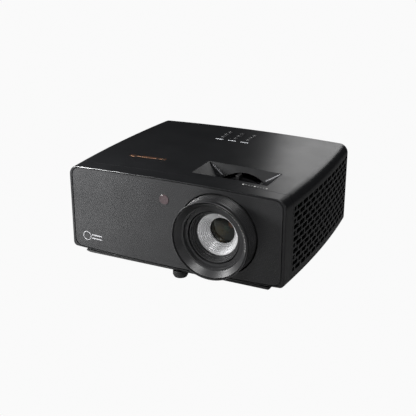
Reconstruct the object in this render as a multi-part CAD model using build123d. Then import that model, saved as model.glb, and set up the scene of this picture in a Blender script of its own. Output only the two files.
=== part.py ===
from build123d import *
import math
import os

# Outer form, in mm. X is the width, Y runs from the lens to the rear, Z is up.
half_width_front = 167.0
half_width_mid = 171.3
half_width_rear = 162.9
body_depth = 275.6
hood_proud = 28.0
front_bulge = 2.3
top_z = 149.0
top_crown = 4.2
bottom_z = 17.1
bottom_bow = 3.5
side_round = 14.0
base_round = 6.6
rear_round = 5.4
wall = 2.5
web = 2.0
rear_y = (body_depth + hood_proud) / 2
front_y = rear_y - body_depth
hood_front_y = -rear_y

# Clearances.
part_gap = 0.3
fit_gap = 0.1
run_gap = 0.08
board_t = 1.6

# Front bezel and the dimpled panel in it.
bezel_depth = 22.2
seam_gap = 0.6
tongue = 6.0
panel_gap = 1.2
panel_margin_side = 5.0
panel_margin_top = 2.6
panel_margin_bottom = 2.6
panel_round = 11.0
panel_sink = 0.2
lip_round = 1.2
seam_y = front_y + bezel_depth
ir_x = -11.1
ir_z = 118.9
ir_r = 7.2
ir_proud = 0.4

# Lens: everything turns or slides along one axis, parallel to Y.
lens_x = 69.6
lens_z = 81.3
panel_hole_r = 58.9
collar_wall = 2.0
collar_depth = 19.0
hood_r = 56.0
hood_root_r = 56.6
hood_length = 24.5
hood_bore_r = 38.2
hood_rim_r = 53.0
hood_face_r = 46.0
hood_step_r = 43.5
hood_lip = 1.2
focus_r = 57.0
focus_length = 21.5
zoom_r = 54.5
zoom_length = 35.6
ring_seat_r = 46.0
stop_r = 50.0
stop_length = 31.4
barrel_bore_r = 38.5
barrel_rear_r = 40.0
flange_t = 5.0
flange_y = -8.0
cell_travel = 1.5
zoom_travel = 5.0
cone_r = 30.1
cone_depth = 26.9
cone_steps = 6
front_glass_depth = 44.1
front_glass_r = 18.5
zoom_glass_r = 27.8
rear_glass_r = 23.8
lever_turn = 2.6
lever_tip_r = 62.3
lever_width = 5.0
lever_length = 11.0

# Recess in the top through which the zoom lever is reached.
recess_half_top = 58.9
recess_half_low = 30.1
recess_rear_y = -29.0
recess_front_y = -85.1
recess_low_z = 132.6
recess_rear_run = 10.3
recess_clear_r = 59.8
recess_wall = 2.0
trim_width = 2.6
trim_t = 0.6

# Side vents: a brick pattern of slots on both sides.
vent_rows = 11
vent_columns = 12
vent_row_pitch = 8.78
vent_pitch = 19.77
vent_length = 16.6
vent_height = 6.2
vent_corner = 2.0
vent_low_z = 37.6
vent_front_y = -98.0

# Keypad and the three light bars in front of it.
key_x = -1.9
key_y = 104.4
key_pitch_x = 21.3
key_pitch_y = 12.9
key_length = 7.8
key_width = 5.2
key_proud = 0.7
key_travel = 0.8
key_flange = 1.0
key_flange_t = 1.0
key_stem = 3.0
light_y = 77.1
light_pitch = 21.0
light_length = 13.6
light_width = 2.4
light_proud = 0.1
keypad_reach = 35.0
keypad_front_y = 71.0
keypad_rear_y = 124.0

# Base pan, feet and fixings.
split_z = 27.0
split_gap = 0.4
pan_z = 11.0
pan_half = 146.0
pan_front_y = -121.5
pan_rear_y = 143.0
pan_chamfer = 3.6
pan_under_gap = 0.3
floor_z = pan_z + wall
foot_x = 4.8
foot_front_y = -110.0
foot_rear_x = 124.0
foot_rear_y = 113.0
foot_r = 11.0
foot_pad_t = 2.0
foot_gap = 0.5
stud_r = 4.0
stud_top_z = 31.0
foot_boss_r = 8.0
foot_boss_top_z = 34.0
mount_spacing_x = 150.0
mount_spacing_y = 160.0
mount_y = 15.0
mount_hole_r = 2.0
mount_boss_top_z = 21.0
screw_x = 126.0
screw_front_y = -88.0
screw_rear_y = 134.0
screw_r = 1.5
screw_head_r = 3.0
screw_head_t = 2.0
screw_length = 10.0

# Rear connectors, in a row on the main board.
rear_window_half = 148.0
rear_window_low = 33.0
rear_window_high = 133.0
rear_plate_lap = 4.0
rear_plate_t = 2.5
port_gap = 0.4
port_wall = 0.5
hdmi_size = (15.0, 6.0)
hdmi_x = (8.0, 32.0)
usb_size = (13.4, 6.4)
usb_x = 55.0
lan_size = (16.0, 13.0)
lan_x = 80.0
port_depth = 14.0
port_back_wall = 1.0
jack_x = (102.0, 116.0)
jack_size = 9.0
jack_bore_r = 1.8
jack_bush_r = 3.6
jack_floor = 2.0
inlet_x = -108.0
inlet_z = 46.0
inlet_width = 27.0
inlet_height = 19.5
inlet_depth = 22.0
inlet_flange = 4.0
inlet_wall = 1.5
inlet_floor = 4.0
blade_places = ((-7.0, -2.0), (0.0, 2.0), (7.0, -2.0))
board_z = 50.0
board_x = (-8.0, 125.0)
board_y = (82.6, 144.6)
board_post_x = (-2.0, 118.0)
board_post_y = (88.0, 136.0)
post_r = 5.0
power_z = 24.0
power_x = (-114.0, -15.0)
power_y = (61.0, 143.0)
power_post_x = (-106.0, -22.0)
power_post_y = (69.0, 135.0)
capacitor_x = (-70.0, -54.0, -38.0)
capacitor_y = 119.0
capacitor_r = 7.0
speaker_x = (-118.0, -66.0)
speaker_y = (-93.0, -65.0)
speaker_height = 42.0
speaker_post_x = (-112.0, -72.0)
speaker_post_y = -79.0

# Light engine behind the lens.
engine_front_y = flange_y
engine_rear_y = 50.0
engine_left = 20.0
engine_right = 115.0
tray_left = -112.0
tray_z = 36.0
tray_post_x = (-104.0, 107.0)
tray_post_y = (-3.0, 45.0)
tray_t = 4.0
engine_top_z = 121.0
engine_wall = 4.0
light_path_y = 20.0
tunnel_size = 9.0
prism_size = 30.0
chip_size = 24.0
wheel_t = 1.5
wheel_bore_r = 2.0
phosphor_x = -50.0
phosphor_r = 30.0
phosphor_drop = 20.0
phosphor_motor_r = 12.0
color_x = -14.0
color_r = 24.0
color_drop = 17.0
color_motor_r = 10.0
motor_length = 16.0
motor_gap = 2.5
laser_left = -110.0
laser_length = 28.0
laser_low_z = 56.0
laser_high_z = 100.0

# Cooling fans, one at each side.
fan_size = 80.0
fan_t = 25.0
fan_z = 71.0
fan_blades = 7
fan_hub_r = 15.0
fan_pin_r = 2.0
fan_rib_half = (8.0, 30.0)
exhaust_x = -147.5
exhaust_y = 6.0
intake_x = 147.5
intake_y = 60.0


def block(x0, x1, y0, y1, z0, z1):
    """A box between two opposite corners."""
    centre = Pos((x0 + x1) / 2, (y0 + y1) / 2, (z0 + z1) / 2)
    return centre * Box(x1 - x0, y1 - y0, z1 - z0)


def rod_y(radius, y0, y1, x=lens_x, z=lens_z):
    """A cylinder along Y, on the lens axis unless told otherwise."""
    return Pos(x, (y0 + y1) / 2, z) * Rot(90, 0, 0) * Cylinder(radius, y1 - y0)


def rod_x(radius, x0, x1, y, z):
    """A cylinder along X."""
    return Pos((x0 + x1) / 2, y, z) * Rot(0, 90, 0) * Cylinder(radius, x1 - x0)


def rod_z(radius, z0, z1, x, y):
    """A cylinder along Z."""
    return Pos(x, y, (z0 + z1) / 2) * Cylinder(radius, z1 - z0)


def spun(points):
    """Turns a closed outline of (radius, y) points about the lens axis."""
    outline = make_face(Polyline(*[(r, y) for r, y in points], close=True))
    solid = revolve(outline, Axis.Y, 360)
    return Pos(lens_x, 0, lens_z) * solid


def front_outline(low_z, high_z, half, bow, crown):
    """Front view of the body: crowned top, bowed bottom and straight sides."""
    top = ThreePointArc((-half, high_z - crown), (0, high_z), (half, high_z - crown))
    bottom = ThreePointArc((-half, low_z + bow), (0, low_z), (half, low_z + bow))
    left = Line((-half, low_z + bow), (-half, high_z - crown))
    right = Line((half, low_z + bow), (half, high_z - crown))
    return Plane.XZ * make_face(Curve() + [top, bottom, left, right])


def plan_outline(inset):
    """View from above: bulged front, sides bowed outwards and a straight rear."""
    near = front_y + inset
    far = rear_y - inset
    middle_y = (near + far) / 2
    front = ThreePointArc(
        (-half_width_front + inset, near),
        (0, near - front_bulge),
        (half_width_front - inset, near),
    )
    sides = [
        ThreePointArc(
            (side * (half_width_front - inset), near),
            (side * (half_width_mid - inset), middle_y),
            (side * (half_width_rear - inset), far),
        )
        for side in (-1, 1)
    ]
    rear = Line((-half_width_rear + inset, far), (half_width_rear - inset, far))
    return make_face(Curve() + [front, rear] + sides)


def body_form(inset, front_round=0.0):
    """The whole outer form drawn in by inset, with rounded shoulders and rear edges."""
    front = front_outline(
        bottom_z + inset, top_z - inset, half_width_mid + wall, bottom_bow, top_crown
    )
    tall = extrude(plan_outline(inset), amount=2 * top_z)
    form = extrude(front, amount=body_depth, both=True) & tall
    long_edges = form.edges().filter_by(lambda e: e.length > body_depth / 2)
    side_edges = long_edges.filter_by(lambda e: abs(e.center().X) > half_width_mid / 2)
    middle_z = (top_z + bottom_z) / 2
    upper = side_edges.filter_by(lambda e: e.center().Z > middle_z)
    form = fillet(upper, side_round - inset)
    long_edges = form.edges().filter_by(lambda e: e.length > body_depth / 2)
    lower = long_edges.filter_by(
        lambda e: e.center().Z < middle_z - side_round and abs(e.center().Y) < body_depth / 4
    )
    form = fillet(lower, base_round - inset)
    rear_face = form.faces().sort_by(Axis.Y)[-1]
    form = fillet(rear_face.edges(), rear_round - inset)
    if front_round:
        front_face = form.faces().sort_by(Axis.Y)[0]
        form = fillet(front_face.edges(), front_round)
    return form


def zone(y0, y1, z0=-50.0, z1=400.0):
    """A wide block used to keep one stretch of the body."""
    return block(-400, 400, y0, y1, z0, z1)


def panel_prism(margin):
    """The front panel's outline, grown by margin and run through the front wall."""
    face = front_outline(
        bottom_z + panel_margin_bottom - margin,
        top_z - panel_margin_top + margin,
        half_width_front - panel_margin_side + margin,
        bottom_bow,
        top_crown,
    )
    face = fillet(face.vertices(), panel_round + margin)
    prism = extrude(face, amount=body_depth, both=True)
    return prism & zone(front_y - 10, front_y + 10)


def post(x, y, top, radius=4.0):
    """A round boss that stands on the base pan's floor."""
    return rod_z(radius, floor_z, top, x, y)


outer = body_form(0.0)
inner = body_form(wall)
deep = body_form(wall + web)
tongue_form = body_form(wall + part_gap)


def front_bezel():
    """Band round the front with the web behind the panel and a tongue under the cover."""
    band = (body_form(0.0, lip_round) - deep) & zone(front_y - 10, seam_y)
    lap = (tongue_form - deep) & zone(seam_y - tongue, seam_y + tongue, split_z + tongue)
    collar_rear = front_y + wall + collar_depth
    collar = rod_y(panel_hole_r + collar_wall, front_y + wall, collar_rear)
    bezel = band + lap + (collar & deep)
    bezel -= panel_prism(panel_gap) - inner
    bezel -= rod_y(panel_hole_r, front_y - 10, collar_rear)
    bezel -= rod_y(ir_r - 2, front_y - 10, front_y + 10, ir_x, ir_z)
    return bezel - rod_z(foot_boss_r + part_gap, 0, foot_boss_top_z, foot_x, foot_front_y)


def front_panel():
    """Thin bulged plate with the lens hole and the window hole."""
    plate = panel_prism(0.0) & (body_form(panel_sink) - inner)
    plate -= rod_y(panel_hole_r, front_y - 10, front_y + 10)
    return plate - rod_y(ir_r + fit_gap, front_y - 10, front_y + 10, ir_x, ir_z)


def ir_window():
    """Round receiver window, a little proud of the panel."""
    front = front_y - front_bulge - ir_proud
    window = rod_y(ir_r, front, front_y + wall, ir_x, ir_z) - inner
    return fillet(window.edges().group_by(Axis.Y)[0], ir_proud)


def vent_sketch():
    """Rows of rounded slots; every other row is shifted, with a short slot at its front."""
    short = vent_pitch / 2 - (vent_pitch - vent_length)
    slots = []
    for row in range(vent_rows):
        z = vent_low_z + row * vent_row_pitch
        shifted = (row + 1) % 2
        start = vent_front_y + shifted * vent_pitch / 2
        for column in range(vent_columns):
            y = start + vent_length / 2 + column * vent_pitch
            slots.append(Pos(y, z) * RectangleRounded(vent_length, vent_height, vent_corner))
        short_y = vent_front_y + short / 2 + (0 if shifted else vent_columns * vent_pitch)
        slots.append(Pos(short_y, z) * RectangleRounded(short, vent_height, vent_corner))
    return Plane.YZ * Sketch(children=slots)


def recess_void(grow):
    """The tapered hollow over the zoom ring, with its faces moved outwards by grow."""
    high = top_z + 20
    slope_side = (recess_half_top - recess_half_low) / (top_z - recess_low_z)
    slope_rear = recess_rear_run / (top_z - recess_low_z)
    low = lens_z + zoom_r / 2
    half_low = recess_half_low / 2 + grow
    half_high = recess_half_top + slope_side * (high - top_z) + grow
    knee = recess_low_z - recess_half_low / 2 / slope_side
    section = Polyline(
        (lens_x - half_high, high),
        (lens_x - half_low, knee),
        (lens_x - half_low, low),
        (lens_x + half_low, low),
        (lens_x + half_low, knee),
        (lens_x + half_high, high),
        close=True,
    )
    rear_high = recess_rear_y + slope_rear * (high - top_z) + grow
    rear_low = recess_rear_y - slope_rear * (top_z - low) + grow
    side = Polyline(
        (recess_front_y - grow, low),
        (rear_low, low),
        (rear_high, high),
        (recess_front_y - grow, high),
        close=True,
    )
    across = extrude(Plane.XZ * make_face(section), amount=body_depth, both=True)
    along = extrude(Plane.YZ * make_face(side), amount=2 * half_width_mid, both=True)
    return across & along


def key_place(column, row):
    return key_x + column * key_pitch_x, key_y + row * key_pitch_y


def top_inner(x):
    """Height of the cover's inner face at a distance x from the middle."""
    return top_z - wall - top_crown * (x / half_width_mid) ** 2


keypad_low_inner = top_inner(abs(key_x) + key_pitch_x + key_length)
key_flange_top = keypad_low_inner - part_gap
keypad_board_top = key_flange_top - key_flange_t - key_travel - part_gap - key_stem


def oval(length, width):
    return SlotOverall(length, width)


def keypad_holes():
    """Holes for the nine keys and slots for the three light bars."""
    low = top_z - 3 * wall
    depth = 4 * wall
    cut = []
    for column in (-1, 0, 1):
        x = key_x + column * light_pitch
        bar = RectangleRounded(light_length + 2 * fit_gap, light_width + 2 * fit_gap, light_width / 2)
        cut.append(Pos(x, light_y, low) * extrude(bar, amount=depth))
        for row in (-1, 0, 1):
            x, y = key_place(column, row)
            hole = oval(key_length + 2 * part_gap, key_width + 2 * part_gap)
            cut.append(Pos(x, y, low) * extrude(hole, amount=depth))
    return cut


def keypad_posts():
    """Four posts under the cover that carry the keypad board."""
    posts = []
    for x in (key_x - keypad_reach + 3, key_x + keypad_reach - 3):
        for y in (keypad_front_y + 3, keypad_rear_y - 3):
            posts.append(rod_z(2.5, keypad_board_top, top_z - wall / 2, x, y) & inner)
    return posts


def top_cover():
    """Cover with both vented sides, the rear rim, the lever recess and the key holes."""
    kept = zone(seam_y + seam_gap, rear_y + 10, split_z)
    cover = (outer - inner) & kept
    funnel = (recess_void(recess_wall) & outer) & zone(-300, 300, recess_low_z - recess_wall * 2)
    cover += funnel
    cover += keypad_posts()
    cover -= recess_void(0.0)
    cover -= rod_y(recess_clear_r, seam_y, recess_rear_y + 20)
    cover -= extrude(vent_sketch(), amount=2 * half_width_mid, both=True)
    cover -= keypad_holes()
    window = block(
        -rear_window_half,
        rear_window_half,
        rear_y - 2 * wall,
        rear_y + 1,
        rear_window_low,
        rear_window_high,
    )
    return cover - window


def bottom_case():
    """Underside with the base pan, its bosses and the ribs that carry what is inside."""
    behind = zone(seam_y + seam_gap, rear_y + 10, -50, split_z - split_gap)
    shell = (outer - inner) & behind
    pan = block(-pan_half, pan_half, pan_front_y, pan_rear_y, pan_z, bottom_z + 2 * wall)
    pan = chamfer(pan.edges().group_by(Axis.Z)[0], pan_chamfer)
    pan -= block(-400, 400, pan_front_y - 1, seam_y + seam_gap, bottom_z - pan_under_gap, 40)
    cavity_half = pan_half - pan_chamfer - wall
    cavity = block(
        -cavity_half,
        cavity_half,
        seam_y + seam_gap + wall,
        pan_rear_y - pan_chamfer - wall,
        floor_z,
        60,
    )
    case = shell + pan
    case -= cavity
    case -= (block(-400, 400, seam_y + seam_gap, rear_y, split_z - split_gap, 60))
    for place in foot_places():
        case += post(*place, foot_boss_top_z, foot_boss_r) + rod_z(foot_boss_r, pan_z, floor_z, *place)
    for place in mount_places():
        case += post(*place, mount_boss_top_z, post_r)
    for x, y in [(x, y) for x in tray_post_x for y in tray_post_y]:
        case += post(x, y, tray_z, post_r)
    for x, y in [(x, y) for x in power_post_x for y in power_post_y]:
        case += post(x, y, power_z)
    for x, y in [(x, y) for x in board_post_x for y in board_post_y]:
        case += post(x, y, board_z)
    for x in speaker_post_x:
        case += post(x, speaker_post_y, power_z)
    half_x, half_y = fan_rib_half
    for x, y in ((exhaust_x, exhaust_y), (intake_x, intake_y)):
        low = fan_z - fan_size / 2
        case += block(x - half_x, x + half_x, y - half_y, y + half_y, bottom_z + bottom_bow, low)
    for place in screw_places():
        case += post(*place, pan_z + screw_length + wall, post_r)
        case -= rod_z(screw_r + fit_gap, 0, pan_z + screw_length + 1, *place)
        case -= rod_z(screw_head_r + fit_gap, 0, pan_z + screw_head_t + part_gap, *place)
    for place in foot_places():
        case -= rod_z(stud_r + run_gap, 0, foot_boss_top_z - wall / 2, *place)
    for place in mount_places():
        case -= rod_z(mount_hole_r, 0, mount_boss_top_z - wall / 2, *place)
    return case


def foot_places():
    return [
        (foot_x, foot_front_y),
        (-foot_rear_x, foot_rear_y),
        (foot_rear_x, foot_rear_y),
    ]


def mount_places():
    half_x = mount_spacing_x / 2
    half_y = mount_spacing_y / 2
    return [(x, mount_y + y) for x in (-half_x, half_x) for y in (-half_y, half_y)]


def screw_places():
    return [(x, y) for x in (-screw_x, screw_x) for y in (screw_front_y, screw_rear_y)]


def foot(x, y):
    """Screw foot: a round knob on a stud that runs in the base boss."""
    top = pan_z - foot_gap
    knob = rod_z(foot_r, foot_pad_t, top, x, y)
    knob = fillet(knob.edges().group_by(Axis.Z)[0], 1.5)
    return knob + rod_z(stud_r, top, stud_top_z, x, y)


def foot_pad(x, y):
    """Rubber disc under a foot."""
    pad = rod_z(foot_r - 1.5, 0, foot_pad_t, x, y)
    return fillet(pad.edges().group_by(Axis.Z)[0], 0.8)


def case_screw(x, y):
    """Pan-head screw driven up through the base."""
    head = rod_z(screw_head_r, pan_z + part_gap, pan_z + part_gap + screw_head_t, x, y)
    top = pan_z + part_gap + screw_head_t
    return head + rod_z(screw_r, top, pan_z + screw_length, x, y)


def rear_panel():
    """Plate against the rear rim, cut out for each connector."""
    back = rear_y - wall
    plate = block(
        -rear_window_half - rear_plate_lap,
        rear_window_half + rear_plate_lap,
        back - rear_plate_t,
        back,
        rear_window_low - rear_plate_lap,
        rear_window_high + rear_plate_lap,
    )
    port_low = board_z + board_t
    ports = [(x, hdmi_size) for x in hdmi_x] + [(usb_x, usb_size), (lan_x, lan_size)]
    for x, (width, height) in ports:
        plate -= block(
            x - width / 2 - port_gap,
            x + width / 2 + port_gap,
            back - 10,
            back + 1,
            port_low - port_gap,
            port_low + height + port_gap,
        )
    for x in jack_x:
        plate -= rod_y(jack_bush_r + fit_gap, back - 10, back + 1, x, port_low + jack_size / 2)
    return plate - block(
        inlet_x - inlet_width / 2 - port_gap,
        inlet_x + inlet_width / 2 + port_gap,
        back - 10,
        back + 1,
        inlet_z - inlet_height / 2 - port_gap,
        inlet_z + inlet_height / 2 + port_gap,
    )


def port(x, size):
    """Folded metal socket shell, open to the rear, on the main board."""
    width, height = size
    low = board_z + board_t
    back = rear_y - wall
    shell = block(x - width / 2, x + width / 2, back - port_depth, back, low, low + height)
    return shell - block(
        x - width / 2 + port_wall,
        x + width / 2 - port_wall,
        back - port_depth + port_back_wall,
        back + 1,
        low + port_wall,
        low + height - port_wall,
    )


def jack(x):
    """Moulded 3.5 mm socket behind the plate, with a round nose through it and its bore."""
    low = board_z + board_t
    middle = low + jack_size / 2
    back = rear_y - wall
    front = back - port_depth
    step = back - rear_plate_t - port_gap
    body = block(x - jack_size / 2, x + jack_size / 2, front, step, low, low + jack_size)
    body += rod_y(jack_bush_r, step - 1, back, x, middle)
    return body - rod_y(jack_bore_r, front + jack_floor, back + 1, x, middle)


def ac_inlet():
    """Mains inlet: hollow body with three blades, and an inner flange against the plate."""
    back = rear_y - wall
    front = back - inlet_depth
    half_w = inlet_width / 2
    half_h = inlet_height / 2
    body = block(inlet_x - half_w, inlet_x + half_w, front, back, inlet_z - half_h, inlet_z + half_h)
    body += block(
        inlet_x - half_w - inlet_flange,
        inlet_x + half_w + inlet_flange,
        front,
        back - rear_plate_t,
        inlet_z - half_h,
        inlet_z + half_h,
    )
    body -= block(
        inlet_x - half_w + inlet_wall,
        inlet_x + half_w - inlet_wall,
        front + inlet_floor,
        back + 1,
        inlet_z - half_h + inlet_wall,
        inlet_z + half_h - inlet_wall,
    )
    for x, z in blade_places:
        body += block(
            inlet_x + x - 1, inlet_x + x + 1, front + 3, back - 3, inlet_z + z - 2, inlet_z + z + 2
        )
    return body


def recess_trim(side):
    """Bright strip laid along one crease of the recess, from its rear corner downwards."""
    slope = (recess_half_top - recess_half_low) / (top_z - recess_low_z)
    start_z = top_z - top_crown / 2 - 1.5
    start_drop = top_z - start_z
    end_z = recess_low_z + 2.0
    end_drop = top_z - end_z
    rear_slope = recess_rear_run / (top_z - recess_low_z)
    start = Vector(
        lens_x + side * (recess_half_top - slope * start_drop),
        recess_rear_y - rear_slope * start_drop,
        start_z,
    )
    end = Vector(
        lens_x + side * (recess_half_top - slope * end_drop),
        recess_rear_y - rear_slope * end_drop,
        end_z,
    )
    run = end - start
    facet = Vector(0, -1, rear_slope).normalized()
    middle = start + run * 0.5 + facet * (trim_t / 2 + 0.05)
    place = Plane(origin=middle, x_dir=run, z_dir=facet)
    strip = place * Box(run.length, trim_width, trim_t)
    return strip & recess_void(-0.05)


def status_light(column):
    """Light bar that stands on the keypad board and fills its slot in the cover."""
    x = key_x + column * light_pitch
    bar = RectangleRounded(light_length, light_width, light_width / 2.02)
    high = top_z + light_proud - top_crown * (x / half_width_mid) ** 2
    return Pos(x, light_y, keypad_board_top) * extrude(bar, amount=high - keypad_board_top)


def key(column, row):
    """Oval key with a flange under the cover and a stem over the board."""
    x, y = key_place(column, row)
    flange_low = key_flange_top - key_flange_t
    top = top_z + key_proud
    cap = Pos(x, y, flange_low) * extrude(oval(key_length, key_width), amount=top - flange_low)
    cap = fillet(cap.edges().group_by(Axis.Z)[-1], 0.5)
    rim = oval(key_length + 2 * key_flange, key_width + 2 * key_flange)
    cap += Pos(x, y, flange_low) * extrude(rim, amount=key_flange_t)
    return cap + rod_z(1.5, flange_low - key_stem, flange_low, x, y)


def keypad_board():
    """Circuit board under the keys."""
    return block(
        key_x - keypad_reach,
        key_x + keypad_reach,
        keypad_front_y,
        keypad_rear_y,
        keypad_board_top - board_t,
        keypad_board_top,
    )


def lens_flange():
    """Plate between the barrel and the engine, with the light hole."""
    plate = block(
        lens_x - 42, lens_x + 42, flange_y - flange_t, flange_y, lens_z - 37, lens_z + 37
    )
    return plate - rod_y(rear_glass_r - 2, flange_y - 10, flange_y + 1)


focus_rear_y = hood_front_y + hood_length + focus_length
stop_front_y = focus_rear_y + part_gap
zoom_front_y = stop_front_y + stop_length + part_gap
zoom_rear_y = zoom_front_y + zoom_length
barrel_rear_y = flange_y - flange_t
rear_step_y = zoom_rear_y + 4


def lens_barrel():
    """Fixed barrel with seats for both rings and shoulders that keep them in place."""
    return spun(
        [
            (barrel_bore_r, focus_rear_y - focus_length + 2.5),
            (ring_seat_r, focus_rear_y - focus_length + 2.5),
            (ring_seat_r, stop_front_y),
            (stop_r, stop_front_y),
            (stop_r, zoom_front_y - part_gap),
            (ring_seat_r, zoom_front_y - part_gap),
            (ring_seat_r, zoom_rear_y + part_gap),
            (stop_r - 1, zoom_rear_y + part_gap),
            (stop_r - 1, zoom_rear_y + 6),
            (barrel_rear_r, zoom_rear_y + 6),
            (barrel_rear_r, barrel_rear_y),
            (rear_glass_r + fit_gap, barrel_rear_y),
            (rear_glass_r + fit_gap, rear_step_y),
            (barrel_bore_r, rear_step_y),
        ]
    )


def focus_ring():
    """Ring that turns on the barrel to focus."""
    front = focus_rear_y - focus_length
    return spun(
        [
            (ring_seat_r + run_gap, front),
            (focus_r - 0.8, front),
            (focus_r, front + 0.8),
            (focus_r, focus_rear_y - 0.8),
            (focus_r - 0.8, focus_rear_y),
            (ring_seat_r + run_gap, focus_rear_y),
        ]
    )


def lens_hood():
    """Stepped hood on the focus ring, with a grooved lip and a wide sloping face."""
    front = hood_front_y
    rear = front + hood_length
    return spun(
        [
            (hood_r - hood_lip, front),
            (hood_r - 0.4, front),
            (hood_r, front + 0.4),
            (hood_r, front + 7.2),
            (hood_root_r, rear),
            (hood_bore_r, rear),
            (hood_bore_r, front + 13.8),
            (hood_step_r - 0.5, front + 13.8),
            (hood_step_r, front + 9.7),
            (hood_face_r, front + 9.7),
            (hood_rim_r, front + 1.6),
            (hood_rim_r, front + 2.8),
            (hood_r - hood_lip, front + 2.8),
        ]
    )


cell_front_y = hood_front_y + 16.2
cone_front_y = hood_front_y + cone_depth
cell_rear_y = hood_front_y + 57.0


def front_cell():
    """Sliding cell that carries the front optics, stepped like a baffle at its mouth."""
    slide_r = barrel_bore_r - run_gap
    slide_front = hood_front_y + hood_length + 5.5
    return spun(
        [
            (35.6, cell_front_y),
            (36.6, cell_front_y),
            (36.6, slide_front),
            (slide_r, slide_front),
            (slide_r, cell_rear_y),
            (cone_r + fit_gap, cell_rear_y),
            (cone_r + fit_gap, cone_front_y),
            (32.0, cone_front_y),
            (32.4, cone_front_y - 3.2),
            (33.8, cone_front_y - 3.2),
            (34.2, cone_front_y - 6.4),
            (35.2, cone_front_y - 6.4),
        ]
    )


def inner_cone():
    """Bright stepped cone round the front glass."""
    glass_y = hood_front_y + front_glass_depth
    depth = (glass_y - cone_front_y) / cone_steps
    fall = (cone_r - 0.8 - front_glass_r - fit_gap) / cone_steps
    outline = [(cone_r, cone_front_y)]
    outline.append((cone_r, glass_y + 8.6))
    outline.append((front_glass_r - 3, glass_y + 8.6))
    outline.append((front_glass_r - 3, glass_y + 6.6))
    outline.append((front_glass_r + fit_gap, glass_y + 6.6))
    for step in range(cone_steps):
        y = glass_y - step * depth
        r = front_glass_r + fit_gap + step * fall
        outline.append((r + 0.35, y))
        outline.append((r + fall, y - depth * 0.55))
        outline.append((r + fall, y - depth))
    outline.pop()
    outline.append((cone_r - 0.8, cone_front_y))
    return spun(outline)


def glass(radius, y_front, y_rear, bulge):
    """Lens element: a straight rim between two domed faces."""
    ball_r = (radius**2 + bulge**2) / (2 * bulge)
    half_way = bulge - ball_r + math.sqrt(ball_r**2 - radius**2 / 4)
    front = ThreePointArc((0, y_front - bulge), (radius / 2, y_front - half_way), (radius, y_front))
    rear = ThreePointArc((radius, y_rear), (radius / 2, y_rear + half_way), (0, y_rear + bulge))
    rim = Line((radius, y_front), (radius, y_rear))
    axis_line = Line((0, y_rear + bulge), (0, y_front - bulge))
    face = make_face(Curve() + [front, rim, rear, axis_line])
    return Pos(lens_x, 0, lens_z) * revolve(face, Axis.Y, 360)


def front_lens():
    glass_y = hood_front_y + front_glass_depth
    return glass(front_glass_r, glass_y + 1.0, glass_y + 5.0, 1.6 - fit_gap)


def zoom_cell():
    """Sliding cell of the zoom group."""
    front = zoom_front_y - 4
    rear = front + 24
    return spun(
        [
            (zoom_glass_r + fit_gap, front),
            (barrel_bore_r - run_gap, front),
            (barrel_bore_r - run_gap, rear),
            (zoom_glass_r + fit_gap, rear),
        ]
    )


def zoom_lens():
    front = zoom_front_y - 4
    return glass(zoom_glass_r, front + 7, front + 17, 4.0)


def rear_lens():
    return glass(rear_glass_r, rear_step_y + 5, barrel_rear_y - 6, 3.0)


def zoom_ring():
    """Ring that turns on the barrel to zoom."""
    return spun(
        [
            (ring_seat_r + run_gap, zoom_front_y),
            (zoom_r - 0.8, zoom_front_y),
            (zoom_r, zoom_front_y + 0.8),
            (zoom_r, zoom_rear_y - 0.8),
            (zoom_r - 0.8, zoom_rear_y),
            (ring_seat_r + run_gap, zoom_rear_y),
        ]
    )


def zoom_lever():
    """Small tab on the zoom ring, just off the top."""
    y0 = zoom_rear_y - lever_length - 6
    tab = block(-lever_width / 2, lever_width / 2, y0, y0 + lever_length, zoom_r - 4, lever_tip_r)
    tab = fillet(tab.edges().group_by(Axis.Z)[-1], 1.2)
    tab = Pos(lens_x, 0, lens_z) * Rot(0, -lever_turn, 0) * tab
    return tab - rod_y(zoom_r + 0.02, y0 - 1, y0 + lever_length + 1)


def engine_housing():
    """Cast tray and box that carry the light engine, with cradles for both motors."""
    tray_top = tray_z + tray_t
    left = engine_left
    right = engine_right
    housing = block(tray_left, right, engine_front_y, engine_rear_y, tray_z, tray_top)
    housing += block(left, right, engine_front_y, engine_rear_y, tray_top, engine_top_z)
    housing -= block(
        left + engine_wall,
        right - engine_wall,
        engine_front_y + engine_wall,
        engine_rear_y - engine_wall,
        tray_top,
        engine_top_z - engine_wall,
    )
    prism_low = lens_z - prism_size / 2
    half = prism_size / 2 + 1
    housing += block(
        lens_x - half, lens_x + half, light_path_y - half, light_path_y + half, tray_top, prism_low
    )
    housing -= rod_y(rear_glass_r - 2, engine_front_y - 1, engine_front_y + 2 * engine_wall)
    chip = chip_size / 2 + part_gap
    housing -= block(
        lens_x - chip, lens_x + chip, engine_rear_y - 6, engine_rear_y + 1, lens_z - chip, lens_z + chip
    )
    tunnel = tunnel_size / 2 + fit_gap
    housing -= block(
        left - 1, left + 6, light_path_y - tunnel, light_path_y + tunnel, lens_z - tunnel, lens_z + tunnel
    )
    for x, drop, radius in motors():
        centre_z = lens_z + drop
        cradle = block(
            x - motor_gap - motor_length,
            x - motor_gap - 2,
            light_path_y - radius,
            light_path_y + radius,
            tray_top,
            centre_z,
        )
        cradle -= block(
            x - 40, x + 10, light_path_y - radius + 3, light_path_y + radius - 3, tray_top, centre_z - radius - 3
        )
        housing += cradle - rod_x(radius + fit_gap / 2, x - 40, x + 10, light_path_y, centre_z)
    return housing + block(laser_left, laser_left + laser_length, -6, 48, tray_top, laser_low_z)


def motors():
    """Place, height above the light path and radius of both wheel motors."""
    return [
        (phosphor_x, phosphor_drop, phosphor_motor_r),
        (color_x, color_drop, color_motor_r),
    ]


def wheel_motor(x, drop, radius):
    """Small motor with its shaft pointing along +X."""
    z = lens_z + drop
    can = rod_x(radius, x - motor_gap - motor_length, x - motor_gap, light_path_y, z)
    return can + rod_x(wheel_bore_r, x - motor_gap, x + wheel_t + 2, light_path_y, z)


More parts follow.
